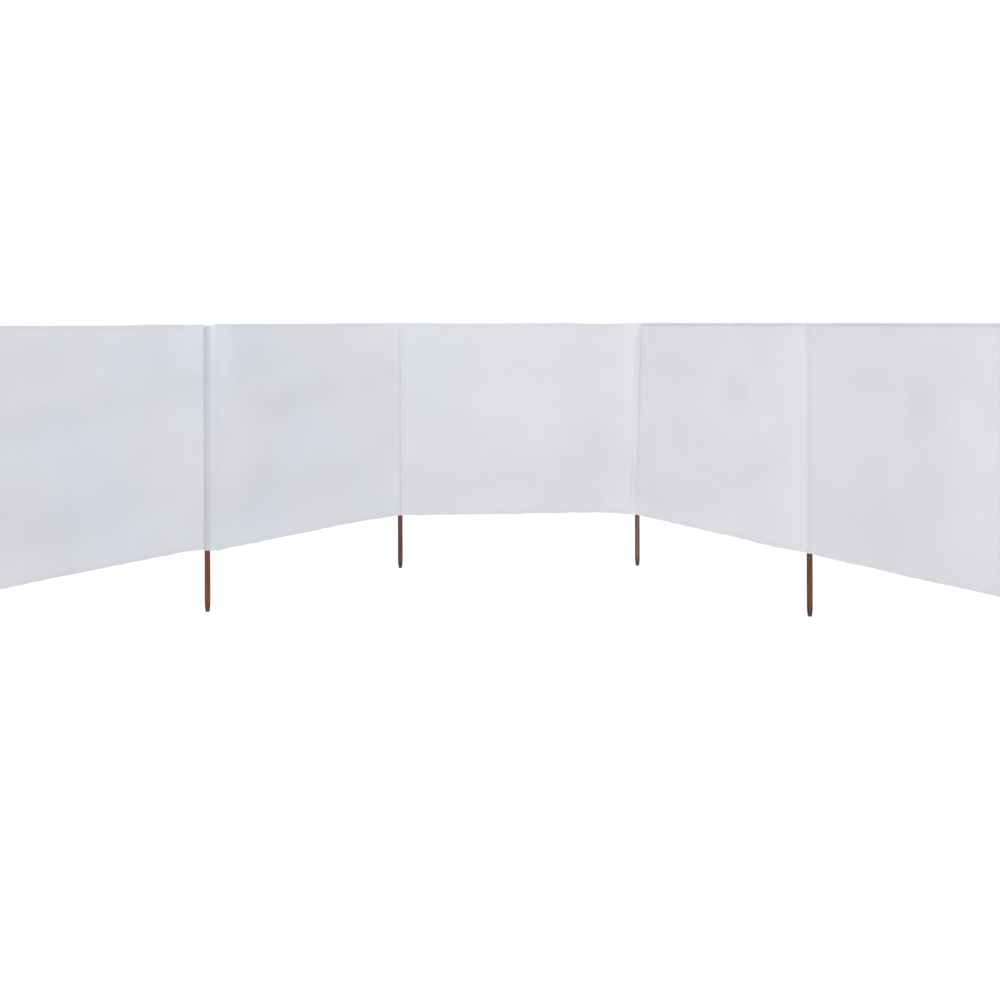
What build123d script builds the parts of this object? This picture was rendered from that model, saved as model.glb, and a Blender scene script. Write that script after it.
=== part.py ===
from build123d import *
import math
import os

# A beach windbreak of five whole bays: one long white cloth held up by six
# round wooden posts. The cloth forms a closed-topped sleeve round each post,
# and the posts' blunt points stand out below it to be pushed into the sand.
# Millimetres, +Z up. X runs along the middle bay, from post_3 to post_4, and
# the side bays come round towards -Y. The origin is the centre of the small
# flat end at the foot of post_3.

# ---- driving dimensions -------------------------------------------------
BAY = 992.0             # post to post, along the chord of a bay
CLOTH_LOW = 217.0       # lower edge of the cloth above the feet
CLOTH_H = 800.0         # height of the cloth
HEM_H = 14.0            # height of the doubled hems
CLOTH_T = 1.2           # thickness of a bay's cloth
HEM_T = 2.4             # thickness of a folded hem

POST_R = 10.0           # radius of the bare foot of a post
POST_TOP_R = 9.6        # a post thins a little towards its top
POST_LEN = 1004.0       # overall length of a post
FOOT_R = 5.2            # flat end of the foot
FOOT_ROUND_R = 7.0      # where the blunt nose turns into the taper
FOOT_ROUND_Z = 2.6
TAPER_Z = 30.0          # the taper ends here and the plain round begins
SHANK_TOP = 210.0       # the plain round ends here, just under the cloth
TOP_CHAMFER = 1.2

SLEEVE_IN_R = 10.35     # inside of a sleeve
SLEEVE_OUT_R = 11.55    # outside of a sleeve
CAP_T = 2.0             # closed top of a sleeve
HINGE_GAP = 0.4         # a bay's cloth stays this far off a sleeve it turns about

# turn of one bay against the next at each inner post, in degrees,
# + towards the -Y side
TURN_2, TURN_3, TURN_4, TURN_5 = 2.0, 46.9, 64.2, -1.0

# sagitta of each bay's cloth, + away from the -Y side
BOW = {1: 20.0, 2: 8.0, 3: 22.0, 4: -6.0, 5: -3.0}

CLOTH_TOP = CLOTH_LOW + CLOTH_H


# ---- plan of the posts --------------------------------------------------
def step(point, degrees, length):
    a = math.radians(degrees)
    return (point[0] + length * math.cos(a), point[1] + length * math.sin(a))


DIR_2 = 180.0 + TURN_3
DIR_1 = DIR_2 + TURN_2
DIR_4 = -TURN_4
DIR_5 = DIR_4 - TURN_5

POSTS = {3: (0.0, 0.0), 4: (BAY, 0.0)}
POSTS[2] = step(POSTS[3], DIR_2, BAY)
POSTS[1] = step(POSTS[2], DIR_1, BAY)
POSTS[5] = step(POSTS[4], DIR_4, BAY)
POSTS[6] = step(POSTS[5], DIR_5, BAY)

# for each bay: left post, right post, and whether its cloth is sewn to the
# sleeve there (True) or turns about it (False)
BAYS = {
    1: (1, 2, True, False),
    2: (2, 3, True, False),
    3: (3, 4, True, True),
    4: (4, 5, False, True),
    5: (5, 6, False, True),
}


# ---- pieces -------------------------------------------------------------
def post():
    """A turned post: blunt nose, taper, round shank that thins towards the top."""
    profile = Polyline(
        (FOOT_R, 0),
        (0, 0),
        (0, POST_LEN),
        (POST_TOP_R - TOP_CHAMFER, POST_LEN),
        (POST_TOP_R, POST_LEN - TOP_CHAMFER),
        (POST_R, SHANK_TOP),
        (POST_R, TAPER_Z),
    )
    nose = ThreePointArc((POST_R, TAPER_Z), (8.9, 13.5), (FOOT_ROUND_R, FOOT_ROUND_Z))
    tip = ThreePointArc((FOOT_ROUND_R, FOOT_ROUND_Z), (6.35, 0.85), (FOOT_R, 0))
    face = make_face([profile, nose, tip])
    return revolve(Plane.XZ * face, Axis.Z, 360)


def sleeve():
    """The cloth tube sewn round a post."""
    tall = CLOTH_H - CAP_T
    ring = Cylinder(SLEEVE_OUT_R, tall, align=(Align.CENTER, Align.CENTER, Align.MIN))
    ring -= Cylinder(SLEEVE_IN_R, tall, align=(Align.CENTER, Align.CENTER, Align.MIN))
    return Pos(0, 0, CLOTH_LOW) * ring


def cap():
    """The sewn, closed top of a sleeve."""
    return Pos(0, 0, CLOTH_TOP - CAP_T) * Cylinder(
        SLEEVE_OUT_R, CAP_T, align=(Align.CENTER, Align.CENTER, Align.MIN)
    )


def strip(number, thickness, z_low, z_high):
    """Upright cloth between two posts, bowed to the bay's sagitta."""
    left, right, sewn_left, sewn_right = BAYS[number]
    (ax, ay), (bx, by) = POSTS[left], POSTS[right]
    sag = BOW[number]
    ux, uy = (bx - ax) / BAY, (by - ay) / BAY
    nx, ny = -uy, ux

    def at(along, across):
        return (ax + ux * along + nx * across, ay + uy * along + ny * across)

    half = thickness / 2
    radius = (BAY * BAY / 4 + sag * sag) / (2 * sag)   # signed
    centre = sag - radius                              # across, from the chord
    spread = math.asin(BAY / 2 / abs(radius))

    def on_arc(t, offset):
        """t from -1 to 1 along the bay, offset across the cloth."""
        r = radius + offset
        return at(BAY / 2 + r * math.sin(t * spread) * (1 if sag > 0 else -1),
                  centre + r * math.cos(t * spread))

    ends = (-1, 1) if sag > 0 else (1, -1)
    outer = ThreePointArc(on_arc(ends[0], half), on_arc(0, half), on_arc(ends[1], half))
    inner = ThreePointArc(on_arc(ends[1], -half), on_arc(0, -half), on_arc(ends[0], -half))
    face = make_face([outer, Line(outer @ 1, inner @ 0), inner, Line(inner @ 1, outer @ 0)])
    body = Pos(0, 0, z_low) * extrude(face, amount=z_high - z_low, dir=(0, 0, 1))
    for (x, y), sewn in (((ax, ay), sewn_left), ((bx, by), sewn_right)):
        r = SLEEVE_OUT_R + (0 if sewn else HINGE_GAP)
        body -= Pos(x, y, z_low - 5) * Cylinder(
            r, z_high - z_low + 10, align=(Align.CENTER, Align.CENTER, Align.MIN)
        )
    return body


pieces = {}
for number, (x, y) in sorted(POSTS.items()):
    pieces[f"post_{number}"] = Pos(x, y, 0) * post()
    pieces[f"sleeve_{number}"] = Pos(x, y, 0) * sleeve()
    pieces[f"sleeve_cap_{number}"] = Pos(x, y, 0) * cap()
for number in BAYS:
    pieces[f"panel_{number}"] = strip(number, CLOTH_T, CLOTH_LOW + HEM_H, CLOTH_TOP - HEM_H)
    pieces[f"top_hem_{number}"] = strip(number, HEM_T, CLOTH_TOP - HEM_H, CLOTH_TOP)
    pieces[f"bottom_hem_{number}"] = strip(number, HEM_T, CLOTH_LOW, CLOTH_LOW + HEM_H)

os.makedirs("parts", exist_ok=True)
for name, shape in pieces.items():
    solid = shape.solids()[0]
    print(name, len(shape.solids()), round(solid.volume, 1), solid.is_valid)
    export_step(solid, f"parts/{name}.step")

for number, (x, y) in sorted(POSTS.items()):
    print("post", number, round(x, 3), round(y, 3))
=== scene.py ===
import math

import bpy
import numpy as np
from mathutils import Matrix, Vector


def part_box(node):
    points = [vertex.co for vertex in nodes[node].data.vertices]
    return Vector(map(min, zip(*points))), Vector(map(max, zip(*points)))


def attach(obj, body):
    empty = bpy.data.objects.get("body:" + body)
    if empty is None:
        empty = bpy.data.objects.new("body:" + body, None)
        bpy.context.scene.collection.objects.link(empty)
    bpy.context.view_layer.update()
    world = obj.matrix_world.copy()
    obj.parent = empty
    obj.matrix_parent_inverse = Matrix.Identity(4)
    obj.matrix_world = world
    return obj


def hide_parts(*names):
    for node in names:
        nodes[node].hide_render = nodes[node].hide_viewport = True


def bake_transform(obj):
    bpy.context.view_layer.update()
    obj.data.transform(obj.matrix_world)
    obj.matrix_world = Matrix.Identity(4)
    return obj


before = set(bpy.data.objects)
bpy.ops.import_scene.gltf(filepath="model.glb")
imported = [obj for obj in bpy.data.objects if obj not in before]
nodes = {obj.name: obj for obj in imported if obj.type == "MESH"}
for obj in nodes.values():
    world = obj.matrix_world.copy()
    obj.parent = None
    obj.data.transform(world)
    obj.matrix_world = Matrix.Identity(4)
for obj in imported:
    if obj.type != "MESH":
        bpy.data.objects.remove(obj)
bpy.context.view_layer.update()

# ------------------------------------------------------------------ layout
# bay number: body, left post, right post
BAYS = {
    1: ("bay_1", 1, 2),
    2: ("bay_2", 2, 3),
    3: ("middle_bay", 3, 4),
    4: ("bay_4", 4, 5),
    5: ("bay_5", 5, 6),
}
POST_BODY = {1: "bay_1", 2: "bay_2", 3: "middle_bay", 4: "middle_bay", 5: "bay_4", 6: "bay_5"}


def centre(name):
    lo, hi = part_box(name)
    return np.array([(lo.x + hi.x) / 2, (lo.y + hi.y) / 2])


POST = {k: centre(f"post_{k}") for k in POST_BODY}
Z0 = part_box("bottom_hem_3")[0].z          # lower edge of the cloth
Z1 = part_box("top_hem_3")[1].z             # upper edge
HEM = Z1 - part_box("top_hem_3")[0].z       # height of a hem
POST_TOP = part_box("post_3")[1].z
H = Z1 - Z0
# sleeve seams, from each post's axis: on its left and on its right
SEAMS = {1: (0.0, 0.028), 2: (0.0205, 0.028), 3: (0.020, 0.020), 4: (0.032, 0.0215), 5: (0.024, 0.022), 6: (0.028, 0.0)}
# how far the seams stand in front of the line between the posts: the cloth passes in front of the posts, which sit in pockets at its back
PROUD = {1: (0.0, 0.0), 2: (0.006, 0.0195), 3: (0.0110, 0.0150), 4: (0.0145, 0.0072), 5: (0.0140, 0.0050), 6: (0.0, 0.0)}
SLACK = {5: (0.0030, 0.0015)}                          # and how much further at the top
LEAN = {4: (0.0, -0.0179)}                             # and how that changes evenly from the bottom to the top
REACH = {2: (0.08, 0.15), 4: (0.075, 0.08)}            # how far along the bay that lasts, 0.08 elsewhere
# how the front of a sleeve runs: round the post between two angles from its front (+ to the right) with a valley on
# the left or the right of it, or straight into one corner
FRONT = {2: ("valley left", -80.0, -12.0), 3: ("corner", 0.0, 0.0), 4: ("corner", 0.0, 0.0), 5: ("valley right", 2.0, 48.0)}
# the cloth is drawn in along the corner: depth, width on its left and right, and the heights (in shares) over which that fades out at the top
NOTCH = {3: (0.0014, 0.0020, 0.0044, 0.80, 0.92), 4: (0.0021, 0.0025, 0.0026, 0.90, 0.97)}
# the sleeve's own sewn line on the front: place at the bottom, shift up to the top, depth, half width, painted shade
# along it, painted shade beside it (where the doubled cloth lets less light through)
SEWN = {4: (-0.0277, 0.0229, 0.0016, 0.0018, 0.030, 0.014)}
# painted shade where the post shows dark through the cloth lying on it: start, full from, full to, end (metres to the
# right of the post's axis), amount
POST_SHADE = {2: (-0.0119, -0.0107, -0.0030, 0.0095, 0.066), 5: (-0.0080, 0.0010, 0.0065, 0.0105, 0.020)}
POST_SHADE_TOP = {2: 0.70}                                    # and how much more of it at the top
CLEAR_R = 0.01085                         # middle of the sleeve cloth round a post
CLOTH_T = 0.0005


def bay_frame(i):
    _, a, b = BAYS[i]
    A, B = POST[a], POST[b]
    length = float(np.linalg.norm(B - A))
    u = (B - A) / length
    n = np.array([-u[1], u[0]])           # points to the back of the bay
    co = np.array([v.co for v in nodes[f"panel_{i}"].data.vertices])[:, :2] - A
    s, off = co @ u, co @ n
    # sagitta of the bay's bow, from the CAD sheet's own points
    m = (s > 0.1) & (s < length - 0.1)
    shape = 4 * (s / length) * (1 - s / length)
    sag = float((off[m] * shape[m]).sum() / (shape[m] ** 2).sum()) if m.sum() > 4 else 0.0
    return {"A": A, "B": B, "L": length, "u": u, "n": n, "sag": sag}


FR = {i: bay_frame(i) for i in BAYS}
for i, (_, a, b) in BAYS.items():
    FR[i]["s0"] = SEAMS[a][1]             # where the bay's cloth starts and ends
    FR[i]["s1"] = FR[i]["L"] - SEAMS[b][0]
FLAT_OFFSET = {1: 0.0, 2: 1.0, 3: 2.0, 4: 3.0, 5: 4.0}


# ------------------------------------------------------------------ relief
def smooth(x, lo, hi):
    t = np.clip((x - lo) / (hi - lo), 0, 1)
    return t * t * (3 - 2 * t)


def value_noise(x, y, seed):
    """Smooth noise from -1 to 1 on a unit lattice, the same each run."""
    xi, yi = np.floor(x).astype(int), np.floor(y).astype(int)
    xf, yf = x - xi, y - yi

    def h(ix, iy):
        n = (ix * 374761393 + iy * 668265263 + seed * 1442695041) & 0xFFFFFFFF
        n = ((n ^ (n >> 13)) * 1274126177) & 0xFFFFFFFF
        return ((n ^ (n >> 16)) & 0xFFFF) / 32767.5 - 1

    u, v = xf * xf * xf * (xf * (6 * xf - 15) + 10), yf * yf * yf * (yf * (6 * yf - 15) + 10)
    return (h(xi, yi) * (1 - u) + h(xi + 1, yi) * u) * (1 - v) + (
        h(xi, yi + 1) * (1 - u) + h(xi + 1, yi + 1) * u
    ) * v


def ridge(a, b, p, q, wide, high, soft=0.18):
    """A soft ridge (or furrow, high < 0) along the line p to q; a, b in shares of the bay, wide and high in metres."""
    px, py, qx, qy = p[0], p[1] * 0.8, q[0], q[1] * 0.8
    x, y = a, b * 0.8
    dx, dy = qx - px, qy - py
    ll = dx * dx + dy * dy
    t = ((x - px) * dx + (y - py) * dy) / ll
    d = ((x - px) * dy - (y - py) * dx) / math.sqrt(ll)
    ends = smooth(t, -soft, soft) * (1 - smooth(t, 1 - soft, 1 + soft))
    return high * np.exp(-0.5 * (d / wide) ** 2) * ends


FOLDS = {
    # (start, end, half width, height towards the front), in shares of the bay
    "left": [
        ((0.02, 0.74), (1.02, 0.84), 0.060, 0.0042),
        ((0.05, 0.54), (1.05, 0.65), 0.062, -0.0052),
        ((-0.05, 0.30), (0.95, 0.42), 0.066, 0.0056),
        ((0.05, 0.08), (0.85, 0.14), 0.060, -0.0040),
        ((0.78, 0.98), (0.99, 0.72), 0.030, 0.0016),
    ],
    "middle": [
        ((0.10, 0.52), (0.80, 0.56), 0.15, 0.0060),
        ((0.90, -0.05), (0.87, 0.62), 0.050, -0.0050),
        ((0.20, 0.86), (0.62, 0.80), 0.040, -0.0018),
        ((0.05, 0.16), (0.45, 0.10), 0.060, -0.0016),
        ((0.62, 0.20), (0.52, 0.60), 0.060, 0.0020),
    ],
    "right": [
        ((0.66, 1.02), (0.78, 0.45), 0.085, -0.0048),
        ((0.78, 0.45), (0.60, -0.04), 0.085, -0.0044),
        ((0.30, 0.75), (0.52, 0.46), 0.070, 0.0034),
        ((0.06, 0.34), (0.42, 0.22), 0.090, 0.0040),
        ((0.45, 0.66), (0.66, 0.54), 0.040, -0.0018),
        ((0.02, 0.90), (0.14, 0.62), 0.028, -0.0022),
    ],
}
KIND = {1: "left", 2: "left", 3: "middle", 4: "right", 5: "right"}
# how far the edges lie from level, in metres, at shares of the bay: top edge, then bottom edge
EDGES = {
    1: ([(0, 0), (0.28, -0.0004), (0.42, -0.0017), (0.62, -0.0019), (0.74, -0.0003), (1, 0)],
        [(0, -0.004), (0.2, -0.004), (0.42, -0.0015), (0.63, 0.001), (0.8, 0.004), (0.93, 0.008), (1, 0.0035)]),
    2: ([(0, 0.0014), (0.06, 0.0014), (0.16, 0.0004), (0.3, 0), (0.85, 0.0002), (1, 0.0010)],
        [(0, -0.003), (0.045, -0.005), (0.09, -0.0030), (0.16, -0.004), (0.38, -0.0028), (0.7, 0.0025), (0.9, 0.004), (1, 0.003)]),
    3: ([(0, 0.0012), (0.11, 0.0004), (0.17, -0.002), (0.5, -0.0025), (0.7, -0.002), (0.84, -0.0055), (0.95, -0.004), (1, -0.003)],
        [(0, 0.003), (0.1, 0.001), (0.4, -0.0015), (0.62, 0.001), (0.84, 0.0045), (0.97, -0.001), (1, -0.0015)]),
    4: ([(0, -0.003), (0.15, -0.0015), (1, -0.0012)],
        [(0, -0.004), (0.15, -0.0045), (0.5, -0.003), (0.8, -0.0045), (0.95, 0.002), (1, 0.003)]),
    5: ([(0, -0.0012), (1, -0.0012)],
        [(0, 0.002), (0.06, -0.001), (0.2, -0.002), (0.5, -0.0025), (1, -0.002)]),
}
# short creases beside the posts: from, to (along the bay, height), half width, height towards the front
CREASES = {
    1: [((0.925, 0.905), (0.900, 0.800), 0.007, 0.0009)],
    2: [((0.046, 0.880), (0.075, 0.800), 0.006, -0.0010)],
    4: [((0.030, 0.915), (0.034, 0.842), 0.0075, -0.0032), ((0.082, 0.845), (0.022, 0.760), 0.0080, -0.0014),
        ((0.052, 0.905), (0.060, 0.860), 0.009, 0.0012)],
    5: [((0.036, 0.890), (0.034, 0.740), 0.0070, -0.0012)],
}
# how far the closed top of a sleeve sags over its post
DIP = {2: 0.0044}
# how far the top hem curls towards the front
CURL = {1: 0.0004, 2: 0.0004, 3: 0.0007, 4: 0.0042, 5: 0.0046}


def proud(k, side, z):
    b = (z - Z0) / H
    return PROUD[k][side] + SLACK.get(k, (0.0, 0.0))[side] * smooth(b, 0.70, 0.93) + LEAN.get(k, (0.0, 0.0))[side] * b


def relief(i, s, z):
    """Distance of bay i's cloth in front of its plain bowed surface."""
    L = FR[i]["L"]
    a, b = s / L, (z - Z0) / H
    h = np.zeros_like(a)
    jit = 0.03 * (i % 2)
    for p, q, wide, high in FOLDS[KIND[i]]:
        h = h + ridge(a, b, (p[0] + jit, p[1] - jit), (q[0] + jit, q[1] - jit), wide, high)
    # cloudy unevenness of slack cloth
    h = h + 0.0022 * value_noise(a * 4.1 + 3 * i, b * 3.1 + a * 1.2, 11 + i)
    h = h + 0.0009 * value_noise(a * 9.3 + i, b * 7.7 - a * 2.0, 23 + i)
    h = h + 0.00035 * value_noise(a * 23.0, b * 19.0 + i, 37 + i)
    # nothing moves at the sleeves' seams
    s0, s1 = FR[i]["s0"], FR[i]["s1"]
    inner = smooth(s, s0, s0 + 0.11) * (1 - smooth(s, s1 - 0.11, s1))
    h = h * inner
    _, pa, pb = BAYS[i]
    la, lb = REACH.get(pa, (0.08, 0.08))[1], REACH.get(pb, (0.08, 0.08))[0]
    h = h + proud(pa, 1, z) * np.exp(-0.5 * (np.maximum(s - s0, 0) / la) ** 2)
    h = h + proud(pb, 0, z) * np.exp(-0.5 * (np.maximum(s1 - s, 0) / lb) ** 2)
    # the cloth comes forward to pass over the post, which leaves a shallow trough beside the seam
    for side in (s - s0, s1 - s):
        h = h - 0.0009 * np.exp(-(((side - 0.020) / 0.014) ** 2)) * smooth(side, 0.0, 0.012)
    # small puckers where the sleeve seams are sewn
    for side, seed in ((s - s0, 5), (s1 - s, 6)):
        w = np.exp(-np.maximum(side, 0) / 0.022)
        h = h + w * 0.00055 * value_noise(z / 0.034 + 7 * i, side / 0.05, seed + 3 * i)
        h = h + w * 0.00030 * value_noise(z / 0.015 + 3 * i, side / 0.03, seed + 9 * i)
    # a few short creases where the cloth is pulled into the seams
    for (sa, za), (sb, zb), wide, high in CREASES.get(i, ()):
        dx, dy = sb - sa, zb - za
        ll = dx * dx + dy * dy
        t = ((s - sa) * dx + (z - za) * dy) / ll
        d = ((s - sa) * dy - (z - za) * dx) / math.sqrt(ll)
        h = h + high * np.exp(-0.5 * (d / wide) ** 2) * smooth(t, -0.35, 0.25) * (1 - smooth(t, 0.75, 1.35))
    # puckers along the hems
    for edge, seed, k in ((Z1 - z, 71, 0.8), (z - Z0, 83, 1.15)):
        w = np.exp(-np.maximum(edge, 0) / 0.020)
        h = h + k * w * 0.0007 * value_noise(s / 0.030 + 5 * i, edge / 0.08, seed + i)
        h = h + k * w * 0.0004 * value_noise(s / 0.0125 + 5 * i, edge / 0.04, seed + 7 * i)
    # the top hem curls a little forward, more on the right-hand bays
    h = h + CURL[i] * smooth(z, Z1 - 0.016, Z1 + 0.002) * smooth(s, s0, s0 + 0.05) * (1 - smooth(s, s1 - 0.03, s1))
    return h


def through_points(x, pts):
    """A smooth line through a few points."""
    xs, ys = np.array(pts, float).T
    out = np.full(np.shape(x), ys[-1])
    for k in range(len(xs) - 1):
        m = (x >= xs[k]) & (x <= xs[k + 1])
        out = np.where(m, ys[k] + (ys[k + 1] - ys[k]) * smooth(x, xs[k], xs[k + 1]), out)
    return np.where(x < xs[0], ys[0], out)


def lift(i, s, z):
    """How far the edges lie up or down from level between the posts."""
    L, s0, s1 = FR[i]["L"], FR[i]["s0"], FR[i]["s1"]
    a, b = np.clip(s / L, 0, 1), (z - Z0) / H
    top, low = (through_points(a, p) for p in EDGES[i])
    end = smooth(s, s0, s0 + 0.02) * (1 - smooth(s, s1 - 0.02, s1))
    wave_t = 0.00055 * value_noise(s / 0.045 + i, s * 0, 91 + i)
    wave_b = 0.0010 * value_noise(s / 0.038 + i, s * 0, 97 + i) + 0.0007 * value_noise(s / 0.015 + i, s * 0, 99 + i)
    return (top + end * wave_t) * smooth(b, 0.55, 1.0) + (low + end * wave_b) * (1 - smooth(b, 0.0, 0.45))


def post_lift(k, z, across):
    """The same for the sleeve on post k, from its left seam (across 0) to its right one (1)."""
    left, right = EDGES.get(k - 1), EDGES.get(k)
    ends = [tuple(e[-1][1] for e in left or right), tuple(e[0][1] for e in right or left)]
    if not left:
        ends[0] = ends[1]
    if not right:
        ends[1] = ends[0]
    top, low = (ends[0][m] * (1 - across) + ends[1][m] * across for m in (0, 1))
    b = (z - Z0) / H
    sag = DIP.get(k, 0.0) * smooth(b, 0.955, 1.0) * smooth(across, 0.0, 0.3) * (1 - smooth(across, 0.65, 1.0))
    return top * smooth(b, 0.55, 1.0) + low * (1 - smooth(b, 0.0, 0.45)) - sag


def raw(i, s, z):
    f = FR[i]
    a = s / f["L"]
    back = 4 * f["sag"] * a * (1 - a) - relief(i, s, z)
    x = f["A"][0] + f["u"][0] * s + f["n"][0] * back
    y = f["A"][1] + f["u"][1] * s + f["n"][1] * back
    return np.stack([x, y, z + lift(i, s, z)], -1)


def surf(i, s, z, off=0.0):
    """Points of bay i's cloth at distance s from the left post and height z, off metres behind its front face."""
    s, z = np.broadcast_arrays(np.asarray(s, float), np.asarray(z, float))
    p = raw(i, s, z)
    e = 0.0006
    du = raw(i, s + e, z) - raw(i, s - e, z)
    dv = raw(i, s, z + e) - raw(i, s, z - e)
    n = np.cross(dv, du)
    n /= np.linalg.norm(n, axis=-1, keepdims=True)
    n *= np.sign((n[..., :2] @ FR[i]["n"]))[..., None]
    return p + n * np.asarray(off)[..., None], n


# ------------------------------------------------------------------ meshes
def new_object(name, verts, faces, uvs=None, smooth_shade=True):
    me = bpy.data.meshes.new(name)
    me.from_pydata(np.asarray(verts, float).tolist(), [], [list(map(int, f)) for f in faces])
    me.update()
    if uvs is not None:
        layer = me.uv_layers.new(name="cloth")
        loops = np.zeros(len(me.loops), np.int32)
        me.loops.foreach_get("vertex_index", loops)
        layer.data.foreach_set("uv", np.asarray(uvs, np.float32)[loops].ravel())
    if smooth_shade:
        me.polygons.foreach_set("use_smooth", np.ones(len(me.polygons), bool))
    ob = bpy.data.objects.new(name, me)
    bpy.context.scene.collection.objects.link(ob)
    return ob


def sharpen(ob, pairs):
    """Keep the rims of a thin sheet crisp, so that its faces shade right up to them."""
    want = {(min(p), max(p)) for p in pairs}
    me = ob.data
    keys = np.zeros(len(me.edges) * 2, np.int32)
    me.edges.foreach_get("vertices", keys)
    keys = np.sort(keys.reshape(-1, 2), axis=1)
    flags = np.array([(int(a), int(b)) in want for a, b in keys], bool)
    at = me.attributes.get("sharp_edge") or me.attributes.new("sharp_edge", "BOOLEAN", "EDGE")
    at.data.foreach_set("value", flags)


def grid_faces(rows, cols, start=0, flip=False, cyclic=False):
    out = []
    last = cols if cyclic else cols - 1
    for r in range(rows - 1):
        for c in range(last):
            c2 = (c + 1) % cols
            q = [start + r * cols + c, start + r * cols + c2, start + (r + 1) * cols + c2, start + (r + 1) * cols + c]
            out.append(q[::-1] if flip else q)
    return out


def slab(name, front, back, uv):
    """A closed thin sheet between two grids of points (rows, cols, 3)."""
    rows, cols, _ = front.shape
    n = rows * cols
    verts = np.concatenate([front.reshape(-1, 3), back.reshape(-1, 3)])
    faces = grid_faces(rows, cols) + grid_faces(rows, cols, n, flip=True)
    border = (
        [c for c in range(cols)]
        + [r * cols + cols - 1 for r in range(1, rows)]
        + [(rows - 1) * cols + c for c in range(cols - 2, -1, -1)]
        + [r * cols for r in range(rows - 2, 0, -1)]
    )
    for k in range(len(border)):
        p, q = border[k], border[(k + 1) % len(border)]
        faces.append([q, p, n + p, n + q])
    uvs = np.concatenate([uv.reshape(-1, 2)] * 2)
    ob = new_object(name, verts, faces, uvs)
    ring = [(border[k], border[(k + 1) % len(border)]) for k in range(len(border))]
    sharpen(ob, ring + [(p + n, q + n) for p, q in ring])
    return ob


def spaced(lo, hi, coarse, fine, margin):
    """Positions from lo to hi, fine apart near the ends and coarse in between."""
    near = max(1, round(margin / fine))
    mid = max(1, round((hi - lo - 2 * margin) / coarse))
    return np.unique(np.concatenate([
        np.linspace(lo, lo + margin, near + 1),
        np.linspace(lo + margin, hi - margin, mid + 1),
        np.linspace(hi - margin, hi, near + 1),
    ]))


TONES = {
    # (middle, reach along, reach up, tilt, amount), in shares of the bay: painted light and shade of folds, where the
    # cloth's colour is drawn darker or lighter
    "left": [
        ((0.44, 0.64), 0.25, 0.085, 0.10, -0.038), ((0.30, 0.22), 0.26, 0.13, -0.05, -0.034),
        ((0.62, 0.27), 0.16, 0.10, 0.0, -0.020), ((0.24, 0.83), 0.16, 0.075, 0.1, -0.016),
        ((0.86, 0.74), 0.13, 0.030, 0.3, -0.020), ((0.60, 1.00), 0.80, 0.090, 0.0, 0.020), ((0.93, 0.48), 0.20, 0.34, 0.0, 0.012),
        ((0.96, 0.90), 0.12, 0.13, 0.0, 0.022), ((0.02, 0.55), 0.08, 0.60, 0.0, 0.008),
    ],
    "middle": [
        ((0.40, 0.06), 0.60, 0.22, 0.0, -0.016), ((0.79, 0.26), 0.085, 0.28, 0.0, -0.022),
        ((0.30, 0.71), 0.16, 0.060, 0.0, -0.015), ((0.17, 0.50), 0.12, 0.12, 0.0, -0.008),
        ((0.99, 0.50), 0.060, 0.80, 0.0, 0.016), ((0.97, 0.95), 0.10, 0.20, 0.0, 0.014), ((0.55, 1.00), 0.80, 0.12, 0.0, 0.006),
        ((0.10, 0.15), 0.16, 0.10, 0.0, -0.008),
    ],
    "right": [
        ((0.95, 0.50), 0.17, 0.60, 0.0, 0.032), ((0.60, 0.67), 0.090, 0.120, 0.0, -0.032),
        ((0.24, 0.13), 0.36, 0.100, 0.05, -0.022), ((0.26, 0.77), 0.15, 0.050, 0.0, -0.012),
        ((0.46, 0.37), 0.060, 0.050, 0.2, 0.014), ((0.68, 0.35), 0.11, 0.16, 0.0, -0.012),
    ],
}
# painted shade: how much darker each bay's colour is drawn as a whole, for how the light falls on it
BAY_SHADE = {1: 0.004, 2: 0.000, 3: 0.020, 4: 0.020, 5: 0.042}
NEARER = {5: 1.3}          # in the last bay the same painted fold shade lies nearer the left post
OWN = {                    # and the painted light and shade single bays have besides: lighter beside seams, darker in a crease
    1: [((0.97, 0.93), 0.10, 0.14, 0.0, 0.020), ((1.00, 0.14), 0.12, 0.24, 0.0, -0.014)],
    2: [((0.98, 0.45), 0.09, 0.50, 0.0, 0.020), ((0.03, 0.93), 0.09, 0.14, 0.0, 0.040), ((0.95, 0.92), 0.16, 0.14, 0.0, 0.022),
        ((0.12, 0.58), 0.15, 0.36, 0.0, 0.016), ((0.52, 0.50), 0.18, 0.28, 0.0, -0.010),
        ((0.03, 0.33), 0.07, 0.40, 0.0, -0.030), ((0.028, 0.50), 0.012, 1.20, 0.0, 0.015)],
    3: [((0.02, 0.62), 0.05, 0.34, 0.0, 0.014), ((0.98, 0.74), 0.06, 0.42, 0.0, 0.024), ((0.968, 0.55), 0.012, 1.20, 0.0, 0.022)],
    4: [((0.02, 0.22), 0.07, 0.42, 0.0, 0.036), ((0.02, 0.95), 0.08, 0.14, 0.0, 0.016), ((0.13, 0.62), 0.12, 0.24, 0.0, 0.014),
        ((0.033, 0.825), 0.011, 0.055, 0.0, -0.034), ((0.976, 0.50), 0.014, 1.20, 0.0, 0.018)],
}


# painted light and shade: how much lighter or darker the cloth's colour is drawn at each point, stored in the shade
# attribute
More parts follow.
